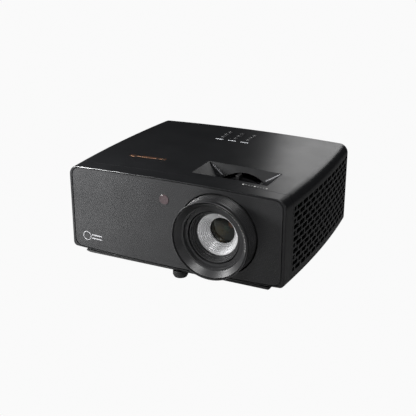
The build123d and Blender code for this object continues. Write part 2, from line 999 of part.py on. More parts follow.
def wheel(x, drop, radius):
    """Thin disc with a hub, running on a motor shaft."""
    z = lens_z + drop
    disc = rod_x(radius, x, x + wheel_t, light_path_y, z)
    disc += rod_x(7, x - 1.5, x, light_path_y, z)
    return disc - rod_x(wheel_bore_r + run_gap, x - 10, x + 10, light_path_y, z)


def light_tunnel():
    """Square glass tube from the colour wheel into the engine."""
    half = tunnel_size / 2
    x0 = color_x + wheel_t + 3
    x1 = engine_left + engine_wall + 6
    y = light_path_y
    tube = block(x0, x1, y - half, y + half, lens_z - half, lens_z + half)
    half -= 1
    return tube - block(x0 - 1, x1 + 1, y - half, y + half, lens_z - half, lens_z + half)


def prism():
    """Glass block in front of the chip."""
    half = prism_size / 2
    return block(
        lens_x - half, lens_x + half, light_path_y - half, light_path_y + half, lens_z - half, lens_z + half
    )


def chip_board():
    """Board on the rear of the engine, with the imaging chip in its window."""
    half = chip_size / 2
    board = block(lens_x - 34, lens_x + 34, engine_rear_y, engine_rear_y + board_t, lens_z - 33, lens_z + 33)
    return board + block(
        lens_x - half, lens_x + half, engine_rear_y - 4, engine_rear_y, lens_z - half, lens_z + half
    )


def fins_y(x0, x1, y0, y1, z0, z1, base, count):
    """Heat sink: a base plate at y0 and upright fins towards y1."""
    sink = block(x0, x1, y0, y0 + base, z0, z1)
    pitch = (x1 - x0 - 1.5) / (count - 1)
    for index in range(count):
        x = x0 + index * pitch
        sink += block(x, x + 1.5, y0 + base, y1, z0, z1)
    return sink


def chip_heatsink():
    y0 = engine_rear_y + board_t
    return fins_y(lens_x - 26, lens_x + 26, y0, y0 + 26, lens_z - 26, lens_z + 26, 4, 9)


def laser_bank():
    """Block of laser diodes."""
    return block(laser_left, laser_left + laser_length, -6, 44, laser_low_z, laser_high_z)


def laser_heatsink():
    """Fins on the outer face of the laser bank."""
    sink = fins_y(-25, 45, 0, 20, laser_low_z - 14, laser_high_z + 12, 4, 12)
    return Pos(laser_left, 0, 0) * Rot(0, 0, 90) * sink


def fan_frame(x, y, toward):
    """Square fan frame with a hub, four struts and a shaft pin on the toward side."""
    half = fan_size / 2
    inner_side = x + toward * fan_t / 2
    frame = block(x - fan_t / 2, x + fan_t / 2, y - half, y + half, fan_z - half, fan_z + half)
    frame -= rod_x(half - 2, x - fan_t, x + fan_t, y, fan_z)
    low, high = sorted((inner_side, inner_side - toward * 4))
    hub = rod_x(14, low, high, y, fan_z)
    for turn in (45, 135):
        bar = Box(4, 4, 2 * half - 2)
        hub += Pos((low + high) / 2, y, fan_z) * Rot(turn, 0, 0) * bar
    start, end = sorted((inner_side - toward * 4, inner_side - toward * 18))
    return frame + hub + rod_x(fan_pin_r, start, end, y, fan_z)


def fan_rotor(x, y, toward):
    """Hub with tilted blades on the frame's pin."""
    start, end = sorted((x + toward * (fan_t / 2 - 4.5), x - toward * (fan_t / 2 - 1)))
    rotor = rod_x(fan_hub_r, start, end, y, fan_z)
    middle = (start + end) / 2
    reach = fan_size / 2 - 4
    for index in range(fan_blades):
        blade = Pos(0, 0, (reach + 13) / 2) * Rot(0, 0, 38) * Box(1.6, 18, reach - 13)
        rotor += Pos(middle, y, fan_z) * Rot(index * 360 / fan_blades, 0, 0) * blade
    bore_start, bore_end = sorted((x + toward * fan_t, x - toward * (fan_t / 2 - 4)))
    return rotor - rod_x(fan_pin_r + run_gap, bore_start, bore_end, y, fan_z)


def main_board():
    """Main circuit board with its largest chips."""
    board = block(*board_x, *board_y, board_z, board_z + board_t)
    top = board_z + board_t
    front = board_y[0]
    board += block(20, 50, front + 7, front + 37, top, top + 3)
    board += block(66, 84, front + 12, front + 30, top, top + 2)
    return board + block(95, 110, front + 10, front + 34, top, top + 6)


def power_supply():
    """Power board with its transformer, coils and capacitors."""
    left = power_x[0]
    front = power_y[0]
    board = block(*power_x, *power_y, power_z, power_z + board_t)
    top = power_z + board_t
    board += block(left + 8, left + 44, front + 6, front + 40, top, top + 30)
    board += block(left + 56, left + 84, front + 10, front + 34, top, top + 24)
    for x in capacitor_x:
        board += rod_z(capacitor_r, top, top + 32, x, capacitor_y)
    return board


def speaker():
    """Small boxed loudspeaker that stands behind the bezel."""
    box = block(*speaker_x, *speaker_y, power_z, power_z + speaker_height)
    middle = sum(speaker_x) / 2
    mouth = Pos(middle, speaker_y[0], power_z + speaker_height / 2) * Rot(90, 0, 0)
    return box - mouth * Cone(10, 18, 12)


KEY_NAMES = [
    ["power_key", "up_key", "menu_key"],
    ["left_key", "enter_key", "right_key"],
    ["source_key", "down_key", "back_key"],
]

parts = {
    "front_bezel": front_bezel(),
    "front_panel": front_panel(),
    "top_cover": top_cover(),
    "bottom_case": bottom_case(),
    "rear_panel": rear_panel(),
    "recess_trims": Compound(children=[recess_trim(-1), recess_trim(1)]),
    "status_lights": Compound(children=[status_light(column) for column in (-1, 0, 1)]),
    "ir_window": ir_window(),
    "keypad_board": keypad_board(),
    "lens_flange": lens_flange(),
    "lens_barrel": lens_barrel(),
    "lens_hood": lens_hood(),
    "focus_ring": focus_ring(),
    "front_cell": front_cell(),
    "inner_cone": inner_cone(),
    "front_lens": front_lens(),
    "zoom_ring": zoom_ring(),
    "zoom_lever": zoom_lever(),
    "zoom_cell": zoom_cell(),
    "zoom_lens": zoom_lens(),
    "rear_lens": rear_lens(),
    "engine_housing": engine_housing(),
    "prism": prism(),
    "chip_board": chip_board(),
    "chip_heatsink": chip_heatsink(),
    "light_tunnel": light_tunnel(),
    "phosphor_wheel": wheel(phosphor_x, phosphor_drop, phosphor_r),
    "phosphor_motor": wheel_motor(phosphor_x, phosphor_drop, phosphor_motor_r),
    "color_wheel": wheel(color_x, color_drop, color_r),
    "color_motor": wheel_motor(color_x, color_drop, color_motor_r),
    "laser_bank": laser_bank(),
    "laser_heatsink": laser_heatsink(),
    "exhaust_fan_frame": fan_frame(exhaust_x, exhaust_y, 1),
    "exhaust_fan_rotor": fan_rotor(exhaust_x, exhaust_y, 1),
    "intake_fan_frame": fan_frame(intake_x, intake_y, -1),
    "intake_fan_rotor": fan_rotor(intake_x, intake_y, -1),
    "main_board": main_board(),
    "power_supply": power_supply(),
    "hdmi_ports": Compound(children=[port(x, hdmi_size) for x in hdmi_x]),
    "usb_port": port(usb_x, usb_size),
    "lan_port": port(lan_x, lan_size),
    "audio_jacks": Compound(children=[jack(x) for x in jack_x]),
    "ac_inlet": ac_inlet(),
    "speaker": speaker(),
    "case_screws": Compound(children=[case_screw(*place) for place in screw_places()]),
}
for name, place in zip(("front_foot", "rear_foot_left", "rear_foot_right"), foot_places()):
    parts[name] = foot(*place)
    parts[name + "_pad"] = foot_pad(*place)
for row, names in zip((1, 0, -1), KEY_NAMES):
    for column, name in zip((-1, 0, 1), names):
        parts[name] = key(column, row)

os.makedirs("parts", exist_ok=True)
for name, solid in parts.items():
    export_step(solid, f"parts/{name}.step")
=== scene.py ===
import math

import bmesh
import bpy
import numpy as np
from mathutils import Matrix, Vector


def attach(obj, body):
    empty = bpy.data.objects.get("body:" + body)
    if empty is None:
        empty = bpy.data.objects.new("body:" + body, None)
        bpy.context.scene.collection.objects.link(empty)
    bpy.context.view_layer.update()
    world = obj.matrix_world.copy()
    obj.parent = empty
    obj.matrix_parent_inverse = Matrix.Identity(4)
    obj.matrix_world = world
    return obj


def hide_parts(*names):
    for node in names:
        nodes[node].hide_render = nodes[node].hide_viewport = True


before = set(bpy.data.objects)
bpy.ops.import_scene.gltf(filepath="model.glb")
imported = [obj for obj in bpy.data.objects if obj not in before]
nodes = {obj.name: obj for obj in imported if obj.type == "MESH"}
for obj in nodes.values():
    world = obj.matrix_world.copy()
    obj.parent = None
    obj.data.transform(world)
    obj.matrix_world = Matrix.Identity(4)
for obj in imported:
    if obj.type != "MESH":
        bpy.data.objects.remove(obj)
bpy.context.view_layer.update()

# Camera and studio. A long lens stands to the right of the front and a little above, over a plain
# pale floor. Large soft boxes light the dark case, and nothing else is reflected in it.
VIEW_AZIMUTH = 26.02
VIEW_ELEVATION = 21.33
VIEW_DISTANCE = 1.3215
VIEW_TARGET = Vector((-0.01253, 0.0146, 0.0569))
VIEW_LENS = 74.5
FLOOR_SIZE = 12.0
FLOOR_TONE = 0.955
FLOOR_BOUNCE = 0.3
SKY_TONE = (0.9, 0.93, 1.0, 1)
SKY_STRENGTH = 0.035


def around(azimuth, elevation, distance, target):
    """A point at that azimuth and elevation from target; azimuth 0 looks along +Y."""
    a, e = math.radians(azimuth), math.radians(elevation)
    away = Vector((math.sin(a) * math.cos(e), -math.cos(a) * math.cos(e), math.sin(e)))
    return target + away * distance


def aim(thing, target):
    """Turns a camera or a lamp so that it looks at target."""
    thing.rotation_euler = (target - thing.location).to_track_quat("-Z", "Y").to_euler()


camera = bpy.data.objects.new("camera", bpy.data.cameras.new("camera"))
bpy.context.collection.objects.link(camera)
camera.data.lens = VIEW_LENS
camera.data.sensor_width = 36.0
camera.data.clip_start = 0.05
camera.location = around(VIEW_AZIMUTH, VIEW_ELEVATION, VIEW_DISTANCE, VIEW_TARGET)
aim(camera, VIEW_TARGET)
bpy.context.scene.camera = camera
bpy.context.scene.view_settings.view_transform = "Standard"


def soft_box(name, location, target, width, height, power):
    """A rectangular studio lamp that faces the target."""
    lamp = bpy.data.objects.new(name, bpy.data.lights.new(name, "AREA"))
    lamp.data.shape = "RECTANGLE"
    lamp.data.size = width
    lamp.data.size_y = height
    lamp.data.energy = power
    lamp.location = location
    lamp.visible_camera = False
    aim(lamp, Vector(target))
    bpy.context.collection.objects.link(lamp)


soft_box("left_box", (-0.34, -0.32, 0.26), (-0.16, -0.12, 0.15), 0.10, 0.10, 5.4)
soft_box("overhead_box", (0.24, -0.85, 1.10), (0.0696, -0.12, 0.08), 0.5, 0.4, 9.0)
soft_box("rear_box", (0.03, 0.70, 0.42), (0.12, 0.06, 0.14), 0.36, 0.24, 0.58)
soft_box("side_box", (1.0, -0.3, 0.5), (0.17, -0.05, 0.1), 0.3, 0.4, 1.6)


world = bpy.data.worlds.new("studio")
bpy.context.scene.world = world
world.use_nodes = True
world.node_tree.nodes["Background"].inputs["Color"].default_value = SKY_TONE
world.node_tree.nodes["Background"].inputs["Strength"].default_value = SKY_STRENGTH

floor_mesh = bpy.data.meshes.new("floor")
half = FLOOR_SIZE / 2
corners = [(-half, -half, 0), (half, -half, 0), (half, half, 0), (-half, half, 0)]
floor_mesh.from_pydata(corners, [], [(0, 1, 2, 3)])
floor = bpy.data.objects.new("floor", floor_mesh)
bpy.context.collection.objects.link(floor)
floor_paint = bpy.data.materials.new("floor_paint")
floor_paint.use_nodes = True
tree = floor_paint.node_tree
tree.nodes.clear()
out = tree.nodes.new("ShaderNodeOutputMaterial")
mix = tree.nodes.new("ShaderNodeMixShader")
seen = tree.nodes.new("ShaderNodeEmission")
seen.inputs["Color"].default_value = (FLOOR_TONE, FLOOR_TONE, FLOOR_TONE, 1)
paint = tree.nodes.new("ShaderNodeBsdfDiffuse")
paint.inputs["Color"].default_value = (FLOOR_BOUNCE, FLOOR_BOUNCE, FLOOR_BOUNCE, 1)
path = tree.nodes.new("ShaderNodeLightPath")
tree.links.new(path.outputs["Is Camera Ray"], mix.inputs["Fac"])
tree.links.new(paint.outputs[0], mix.inputs[1])
tree.links.new(seen.outputs[0], mix.inputs[2])
tree.links.new(mix.outputs[0], out.inputs["Surface"])
floor_mesh.materials.append(floor_paint)


# Case shells: the cover with both vented sides, the band round the front, the base and the rear
# plate. They are injection moulded in black ABS with a fine spark-eroded grain, screwed together
# from below, and rubbed a little shinier in places.
CASE_TONE = (0.007, 0.0072, 0.0078)
BASE_TONE = (0.012, 0.012, 0.0125)


def node_chain(name):
    """A new material with an empty tree and a Principled shader: (material, tree, shader, place)."""
    material = bpy.data.materials.new(name)
    material.use_nodes = True
    tree = material.node_tree
    tree.nodes.clear()
    out = tree.nodes.new("ShaderNodeOutputMaterial")
    shader = tree.nodes.new("ShaderNodeBsdfPrincipled")
    place = tree.nodes.new("ShaderNodeTexCoord")
    tree.links.new(shader.outputs[0], out.inputs["Surface"])
    return material, tree, shader, place


def noise(tree, place, scale, detail=3.0, roughness=0.55):
    """Noise on object coordinates; scale is in features per metre."""
    texture = tree.nodes.new("ShaderNodeTexNoise")
    texture.inputs["Scale"].default_value = scale
    texture.inputs["Detail"].default_value = detail
    texture.inputs["Roughness"].default_value = roughness
    tree.links.new(place.outputs["Object"], texture.inputs["Vector"])
    return texture.outputs["Fac"]


def ramp(tree, value, low, high, dark, light):
    """Maps a value between low and high to two colours."""
    band = tree.nodes.new("ShaderNodeValToRGB")
    band.color_ramp.elements[0].position = low
    band.color_ramp.elements[1].position = high
    band.color_ramp.elements[0].color = (*dark, 1)
    band.color_ramp.elements[1].color = (*light, 1)
    tree.links.new(value, band.inputs["Fac"])
    return band.outputs["Color"]


def span(tree, value, low, high):
    """Maps 0..1 to low..high."""
    scale = tree.nodes.new("ShaderNodeMapRange")
    scale.inputs["To Min"].default_value = low
    scale.inputs["To Max"].default_value = high
    tree.links.new(value, scale.inputs["Value"])
    return scale.outputs["Result"]


def relief(tree, shader, height, depth, strength=0.5):
    """Joins a height of that depth in metres to the shader's normal."""
    bump = tree.nodes.new("ShaderNodeBump")
    bump.inputs["Strength"].default_value = strength
    bump.inputs["Distance"].default_value = depth
    tree.links.new(height, bump.inputs["Height"])
    tree.links.new(bump.outputs["Normal"], shader.inputs["Normal"])


def finish(name, tone, roughness, grain=1400.0, depth=0.00006, metallic=0.0, spread=0.3, coat=0.0):
    """Moulded, cast or painted surface: grain, cloudy roughness and a slight shift of tone."""
    material, tree, shader, place = node_chain(name)
    cloud = noise(tree, place, 24.0, 4.0)
    dark = tuple(c * (1 - spread) for c in tone)
    light = tuple(min(1, c * (1 + spread)) for c in tone)
    tint = ramp(tree, cloud, 0.32, 0.68, dark, light)
    tree.links.new(tint, shader.inputs["Base Color"])
    worn = span(tree, cloud, roughness - 0.06, roughness + 0.06)
    tree.links.new(worn, shader.inputs["Roughness"])
    shader.inputs["Metallic"].default_value = metallic
    shader.inputs["Coat Weight"].default_value = coat
    shader.inputs["Coat Roughness"].default_value = 0.1
    relief(tree, shader, noise(tree, place, grain, 2.0, 0.7), depth)
    return material


def dress(material, *names):
    """Gives CAD nodes one material in all of their slots."""
    for name in names:
        mesh = nodes[name].data
        mesh.materials.clear()
        mesh.materials.append(material)


case_plastic = finish("case_plastic", CASE_TONE, 0.31, spread=0.15)
base_plastic = finish("base_plastic", BASE_TONE, 0.5)
dress(case_plastic, "top_cover", "front_bezel")
dress(base_plastic, "bottom_case", "rear_panel")


# Front panel: a thin moulded plate, bowed slightly forwards, with a staggered field of small round
# dimples over its whole face. It is a separate moulding, glued into the band, in a satin dark grey.
PANEL_HALF = 0.162
PANEL_LOW = 0.0197
PANEL_HIGH = 0.1464
PANEL_LOW_BOW = 0.00308
PANEL_HIGH_BOW = 0.0037
PANEL_CORNER = 0.0108
PANEL_FRONT = -0.1236
PANEL_BULGE = 0.0023
PANEL_DEPTH = 0.0021
PANEL_STEP = 0.00078
DOT_PITCH = 0.0029
DOT_RADIUS = 0.00108
DOT_DEPTH = 0.00050
DOT_BORDER = 0.0026
LENS_X = 0.0696
LENS_Z = 0.0813
LENS_HOLE = 0.0589
WINDOW_X = -0.0111
WINDOW_Z = 0.1189
WINDOW_HOLE = 0.0073


def add_mesh(name, points, faces, material, smooth=True, sharp=0.6):
    """A mesh object from an N x 3 array and a list of faces; edges sharper than that angle stay crisp."""
    mesh = bpy.data.meshes.new(name)
    mesh.from_pydata(np.asarray(points, float).tolist(), [], np.asarray(faces).tolist())
    mesh.materials.append(material)
    if smooth:
        mesh.shade_smooth()
        mesh.set_sharp_from_angle(angle=sharp)
    thing = bpy.data.objects.new(name, mesh)
    bpy.context.collection.objects.link(thing)
    return thing


def placed(thing, body, slot_name, *stands_for):
    """Joins a piece to its body and hides the CAD nodes that it stands for; slot_name is not used."""
    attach(thing, body)
    if stands_for:
        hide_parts(*stands_for)
    return thing


def dimpled_sheet():
    """The panel's face on a grid of (u, v), both -1..1.
    z runs from the lower to the upper arc; x = u * width(z), where width shrinks by
    c - sqrt(c^2 - e^2) in the last c of each corner; y = front - bulge * (1 - (x / half)^2) + dent,
    and dent = depth * (1 - (r / R)^2)^2 round each dimple's centre."""
    columns = int(2 * PANEL_HALF / PANEL_STEP)
    rows = int((PANEL_HIGH - PANEL_LOW) / PANEL_STEP)
    u, v = np.meshgrid(np.linspace(-1, 1, columns), np.linspace(0, 1, rows))
    height = PANEL_HIGH - PANEL_LOW - PANEL_LOW_BOW - PANEL_HIGH_BOW
    edge = np.maximum(0, PANEL_CORNER - np.minimum(v, 1 - v) * height)
    shrink = PANEL_CORNER - np.sqrt(np.maximum(0, PANEL_CORNER**2 - edge**2))
    x = u * (PANEL_HALF - shrink)
    across = (x / PANEL_HALF) ** 2
    low = PANEL_LOW + PANEL_LOW_BOW * across
    high = PANEL_HIGH - PANEL_HIGH_BOW * across
    z = low + (high - low) * v
    row_height = DOT_PITCH * math.sqrt(0.75)
    row = np.round(z / row_height)
    shift = (row % 2) * DOT_PITCH / 2
    off_x = x - shift - np.round((x - shift) / DOT_PITCH) * DOT_PITCH
    radius = np.hypot(off_x, z - row * row_height)
    dent = DOT_DEPTH * np.maximum(0, 1 - (radius / DOT_RADIUS) ** 2) ** 2
    from_edge = np.minimum(PANEL_HALF - shrink - np.abs(x), np.minimum(z - low, high - z))
    from_hole = np.hypot(x - LENS_X, z - LENS_Z) - LENS_HOLE
    from_window = np.hypot(x - WINDOW_X, z - WINDOW_Z) - WINDOW_HOLE
    clear = np.minimum(from_edge, np.minimum(from_hole, from_window))
    dent *= np.clip((clear - DOT_BORDER) / DOT_PITCH * 3, 0, 1)
    y = PANEL_FRONT - PANEL_BULGE * (1 - across) + dent
    return np.stack([x, y, z], -1)


def grid_faces(rows, columns):
    """Quads of a rows x columns grid of vertices, counted row by row."""
    corner = (np.arange(rows - 1)[:, None] * columns + np.arange(columns - 1)).ravel()
    return np.stack([corner, corner + 1, corner + columns + 1, corner + columns], -1)


def cut_round(points, faces, x, z, radius):
    """Takes the faces inside a circle out and moves the vertices left inside onto its edge."""
    away = points[:, [0, 2]] - (x, z)
    distance = np.hypot(*away.T)
    inside = distance < radius
    faces = faces[~inside[faces].all(1)]
    moved = (x, z) + away / np.maximum(distance, 1e-9)[:, None] * radius
    points[:, [0, 2]] = np.where(inside[:, None], moved, points[:, [0, 2]])
    return points, faces


def close_back(thing, depth):
    """Draws a sheet's open edges back along +Y and closes the rear with flat triangles."""
    shape = bmesh.new()
    shape.from_mesh(thing.data)
    loose = [v for v in shape.verts if not v.link_faces]
    bmesh.ops.delete(shape, geom=loose, context="VERTS")
    rim = [e for e in shape.edges if e.is_boundary]
    drawn = bmesh.ops.extrude_edge_only(shape, edges=rim)["geom"]
    moved = [g for g in drawn if isinstance(g, bmesh.types.BMVert)]
    bmesh.ops.translate(shape, vec=(0, depth, 0), verts=moved)
    rear = [e for e in shape.edges if e.is_boundary]
    bmesh.ops.triangle_fill(shape, use_beauty=True, use_dissolve=False, edges=rear)
    bmesh.ops.recalc_face_normals(shape, faces=shape.faces)
    shape.to_mesh(thing.data)
    shape.free()


sheet = dimpled_sheet()
rows, columns = sheet.shape[:2]
points, faces = sheet.reshape(-1, 3), grid_faces(rows, columns)
points, faces = cut_round(points, faces, LENS_X, LENS_Z, LENS_HOLE)
points, faces = cut_round(points, faces, WINDOW_X, WINDOW_Z, WINDOW_HOLE)
PANEL_TONE = (0.018, 0.0182, 0.019)
panel_plastic = finish("panel_plastic", PANEL_TONE, 0.36, grain=2600.0, depth=0.00003, spread=0.1)
panel = add_mesh("dimpled_front", points, faces, panel_plastic)
close_back(panel, PANEL_DEPTH)
panel.data.shade_smooth()
panel.data.set_sharp_from_angle(angle=0.9)
placed(panel, "case", "panel_black", "front_panel")


# Receiver window: a small polished lens of deep red acrylic that looks almost black, pressed into
# the panel from behind. Faint flow marks and dust show in its gloss.
window_acrylic = finish("window_acrylic", (0.05, 0.034, 0.037), 0.3, grain=500.0, depth=0.00001, coat=0.3)
dress(window_acrylic, "ir_window")


# Zoom and focus rings: moulded black rings that turn on the fixed barrel. The focus ring has a fine
# square knurl all round, and the zoom ring has straight finger ribs with a plain band at each end.
RING_BORE = 0.04608
FOCUS_RADIUS = 0.0570
FOCUS_FRONT = -0.1273
FOCUS_REAR = -0.1058
KNURL_AROUND = 168
KNURL_ALONG = 9
KNURL_DEPTH = 0.0006
KNURL_GROOVE = 0.38
ZOOM_RADIUS = 0.0545
ZOOM_FRONT = -0.0738
ZOOM_REAR = -0.0382
RIBS_AROUND = 120
RIB_DEPTH = 0.0009
RIB_GROOVE = -0.1
RIB_LAND = 0.004
ZOOM_LANDS = 24
RING_CHAMFER = 0.0008


def turned(profile, around_count, radius_change=None):
    """A closed profile of (radius, y) rows turned about the lens axis.
    x = lens_x + r cos a, z = lens_z + r sin a, and r = profile radius + radius_change(a, y, r)."""
    angle = np.linspace(0, 2 * np.pi, around_count, endpoint=False)
    radius = np.repeat(profile[:, 0:1], around_count, 1)
    y = np.repeat(profile[:, 1:2], around_count, 1)
    if radius_change is not None:
        radius = radius + radius_change(np.broadcast_to(angle, radius.shape), y, radius)
    points = np.stack([LENS_X + radius * np.cos(angle), y, LENS_Z + radius * np.sin(angle)], -1)
    count = len(profile)
    i, j = np.meshgrid(np.arange(count), np.arange(around_count), indexing="ij")
    after_i, after_j = (i + 1) % count, (j + 1) % around_count
    index = lambda a, b: a * around_count + b
    faces = np.stack([index(i, j), index(i, after_j), index(after_i, after_j), index(after_i, j)], -1)
    return points.reshape(-1, 3), faces.reshape(-1, 4)


def ring_profile(bore, radius, front, rear, lands):
    """Section of a ring, front face first: bore, chamfered outside with lands points along it, bore."""
    along = np.linspace(front + RING_CHAMFER, rear - RING_CHAMFER, lands)
    outside = np.stack([np.full(lands, radius), along], -1)
    start = np.array([[bore, front], [radius - RING_CHAMFER, front]])
    end = np.array([[radius - RING_CHAMFER, rear], [bore, rear]])
    return np.vstack([start, outside, end])


def knurl(angle, y, radius):
    """Square pyramids: the radius falls by depth * max of two square waves, one round, one along."""
    round_wave = np.abs(np.sin(angle * KNURL_AROUND / 2)) < KNURL_GROOVE
    pitch = (FOCUS_REAR - FOCUS_FRONT) / KNURL_ALONG
    along_wave = np.abs(np.sin((y - FOCUS_FRONT) * np.pi / pitch)) < KNURL_GROOVE
    return -KNURL_DEPTH * (round_wave | along_wave) * (radius > FOCUS_RADIUS - 1e-6)


def ribs(angle, y, radius):
    """Straight ribs: the radius falls by depth in each groove, except near the ring's ends."""
    groove = np.sin(angle * RIBS_AROUND) > RIB_GROOVE
    middle = (y > ZOOM_FRONT + RIB_LAND) & (y < ZOOM_REAR - RIB_LAND)
    return -RIB_DEPTH * (groove & middle) * (radius > ZOOM_RADIUS - 1e-6)


ring_plastic = finish("ring_plastic", (0.005, 0.005, 0.0053), 0.4, grain=2000.0)
section = ring_profile(RING_BORE, FOCUS_RADIUS, FOCUS_FRONT, FOCUS_REAR, KNURL_ALONG * 4 + 1)
focus_shape = turned(section, KNURL_AROUND * 4, knurl)
focus_ring = add_mesh("knurled_focus_ring", *focus_shape, ring_plastic, sharp=0.5)
placed(focus_ring, "focus", "ring_black", "focus_ring")
section = ring_profile(RING_BORE, ZOOM_RADIUS, ZOOM_FRONT, ZOOM_REAR, ZOOM_LANDS)
zoom_shape = turned(section, RIBS_AROUND * 6, ribs)
zoom_ring = add_mesh("ribbed_zoom_ring", *zoom_shape, ring_plastic, sharp=0.5)
placed(zoom_ring, "zoom", "ring_black", "zoom_ring")
dress(ring_plastic, "zoom_lever", "lens_barrel", "zoom_cell")


# Hood and front cell: satin black mouldings round the lens mouth. The hood turns with the focus
# ring, has the same square knurl behind its smooth rim, and carries a printed white distance scale
# on its sloping face, near the outer edge.
HOOD_FRONT = -0.1518
HOOD_SECTION = [
    (0.0548, 0.0), (0.0556, 0.0), (0.0560, 0.0004), (0.0560, 0.0062), (0.0553, 0.0066), (0.0553, 0.0071),
]
HOOD_KNURL_START = 0.0074
HOOD_KNURL_END = 0.0243
HOOD_KNURL_ROWS = 8
HOOD_ROOT = 0.0566
HOOD_BACK = [
    (0.0382, 0.0245), (0.0382, 0.0138), (0.0430, 0.0138), (0.0435, 0.0097), (0.0460, 0.0097),
    (0.0530, 0.0016), (0.0530, 0.0028), (0.0548, 0.0028),
]
SCALE_INNER = 0.0505
SCALE_OUTER = 0.0524
SCALE_START = math.radians(-6)
SCALE_END = math.radians(78)
SCALE_TICKS = 19
LONG_TICK_EXTRA = 0.0012
LONG_TICK_HALF = 0.0055
SHORT_TICK_HALF = 0.0035
INK_THICKNESS = 0.00012
FACE_INNER = 0.0460
FACE_OUTER = 0.0530
FACE_INNER_DEPTH = 0.0097
FACE_OUTER_DEPTH = 0.0016


def bars(corners, thickness):
    """Flat bars from an N x 4 x 3 array of corners and an N x 3 array of outward offsets."""
    base, top = corners, corners + thickness[:, None, :]
    points = np.concatenate([base, top], 1).reshape(-1, 3)
    pattern = np.array([[4, 5, 6, 7], [3, 2, 1, 0], [0, 1, 5, 4], [1, 2, 6, 5], [2, 3, 7, 6], [3, 0, 4, 7]])
    faces = (np.arange(len(corners))[:, None, None] * 8 + pattern).reshape(-1, 4)
    return points, faces


def scale_corner(angle, radius):
    """A point on the hood's sloping face: y falls in a straight line from its inner to its outer edge."""
    part = (radius - FACE_INNER) / (FACE_OUTER - FACE_INNER)
    y = HOOD_FRONT + FACE_INNER_DEPTH + (FACE_OUTER_DEPTH - FACE_INNER_DEPTH) * part
    return np.stack([LENS_X + radius * np.cos(angle), y, LENS_Z + radius * np.sin(angle)], -1)


def hood_knurl(angle, y, radius):
    """The focus ring's square pyramids again, between the rows where the hood's knurl starts and ends."""
    depth = y - HOOD_FRONT
    round_wave = np.abs(np.sin(angle * KNURL_AROUND / 2)) < KNURL_GROOVE
    pitch = (HOOD_KNURL_END - HOOD_KNURL_START) / HOOD_KNURL_ROWS
    along_wave = np.abs(np.sin((depth - HOOD_KNURL_START) * np.pi / pitch)) < KNURL_GROOVE
    side = (radius > HOOD_SECTION[-1][0] + 1e-5) & (depth >= HOOD_KNURL_START - 1e-6)
    return -KNURL_DEPTH * (round_wave | along_wave) * side


along = np.linspace(HOOD_KNURL_START, HOOD_KNURL_END, HOOD_KNURL_ROWS * 4 + 1)
widen = np.linspace(HOOD_SECTION[3][0], HOOD_ROOT, len(along))
section = np.vstack([HOOD_SECTION, np.column_stack([widen, along]), HOOD_BACK])
section[:, 1] += HOOD_FRONT
hood_plastic = finish("hood_plastic", (0.02, 0.02, 0.021), 0.33, grain=2200.0, depth=0.00004, spread=0.12)
hood = add_mesh("scaled_hood", *turned(section, KNURL_AROUND * 4, hood_knurl), hood_plastic, sharp=0.5)
placed(hood, "focus", "hood_black", "lens_hood")
ticks = np.linspace(SCALE_START, SCALE_END, SCALE_TICKS)
long_tick = np.arange(SCALE_TICKS) % 3 == 0
inner = np.where(long_tick, SCALE_INNER - LONG_TICK_EXTRA, SCALE_INNER)
outer = np.full(SCALE_TICKS, SCALE_OUTER)
half_turn = np.where(long_tick, LONG_TICK_HALF, SHORT_TICK_HALF)
tick_corners = np.stack(
    [
        scale_corner(ticks - half_turn, inner),
        scale_corner(ticks + half_turn, inner),
        scale_corner(ticks + half_turn, outer),
        scale_corner(ticks - half_turn, outer),
    ],
    1,
)
slope = math.hypot(FACE_OUTER - FACE_INNER, FACE_INNER_DEPTH - FACE_OUTER_DEPTH)
lean = (FACE_INNER_DEPTH - FACE_OUTER_DEPTH) / slope
back = (FACE_OUTER - FACE_INNER) / slope
offset = -np.stack([np.cos(ticks) * lean, np.full(SCALE_TICKS, back), np.sin(ticks) * lean], -1)
white_ink = finish("white_ink", (0.62, 0.62, 0.6), 0.5, grain=3000.0, depth=0.00002, spread=0.12)
sunk = tick_corners - (offset * INK_THICKNESS)[:, None, :]
scale_marks = add_mesh("hood_scale", *bars(sunk, offset * INK_THICKNESS * 2), white_ink, smooth=False)
placed(scale_marks, "focus", "light_bar")
baffle_plastic = finish("baffle_plastic", (0.03, 0.03, 0.031), 0.4, grain=2200.0, depth=0.00004)
dress(baffle_plastic, "front_cell")


# Inner cone and glass: a bright vapour-coated cone in fine steps round a coated front element. Its green and
# orange coating glints are painted reflections in the glass colour, at fixed spots over a dark amber depth;
# the elements behind are plain glass with a faint purple tint and one painted green glint.
CONE_TONE = (0.8, 0.8, 0.81)
CONE_FRONT = -0.1249
CONE_OUTER = 0.0301
CONE_MOUTH = 0.0293
GLASS_SEAT = 0.0186
GLASS_FRONT = -0.1077
CONE_BACK = -0.0991
CONE_STEPS = 7
CONE_COUNT = 160


def stepped_cone():
    """Section of the cone: step k starts at radius seat + k * fall and runs forwards by one depth,
    and opens by a tenth of the fall at three quarters of that depth and by 0.35 of it at the end."""
    step = np.arange(CONE_STEPS)
    fall = (CONE_MOUTH - GLASS_SEAT) / CONE_STEPS
    depth = (GLASS_FRONT - CONE_FRONT) / CONE_STEPS
    radius = GLASS_SEAT + step * fall
    y = GLASS_FRONT - step * depth
    corner = np.stack(
        [
            np.stack([radius, y], -1),
            np.stack([radius + fall * 0.10, y - depth * 0.75], -1),
            np.stack([radius + fall * 0.35, y - depth], -1),
        ],
        1,
    ).reshape(-1, 2)
    mouth = [(CONE_MOUTH, CONE_FRONT), (CONE_OUTER, CONE_FRONT)]
    back = [(CONE_OUTER, CONE_BACK), (GLASS_SEAT, CONE_BACK)]
    return np.vstack([back[::-1], corner, mouth])[::-1]


cone_metal = finish("cone_metal", CONE_TONE, 0.27, grain=700.0, depth=0.00002, metallic=0.55, spread=0.08)
cone = add_mesh("stepped_inner_cone", *turned(stepped_cone(), CONE_COUNT), cone_metal, sharp=0.35)
placed(cone, "front_group", "cone_silver", "inner_cone")


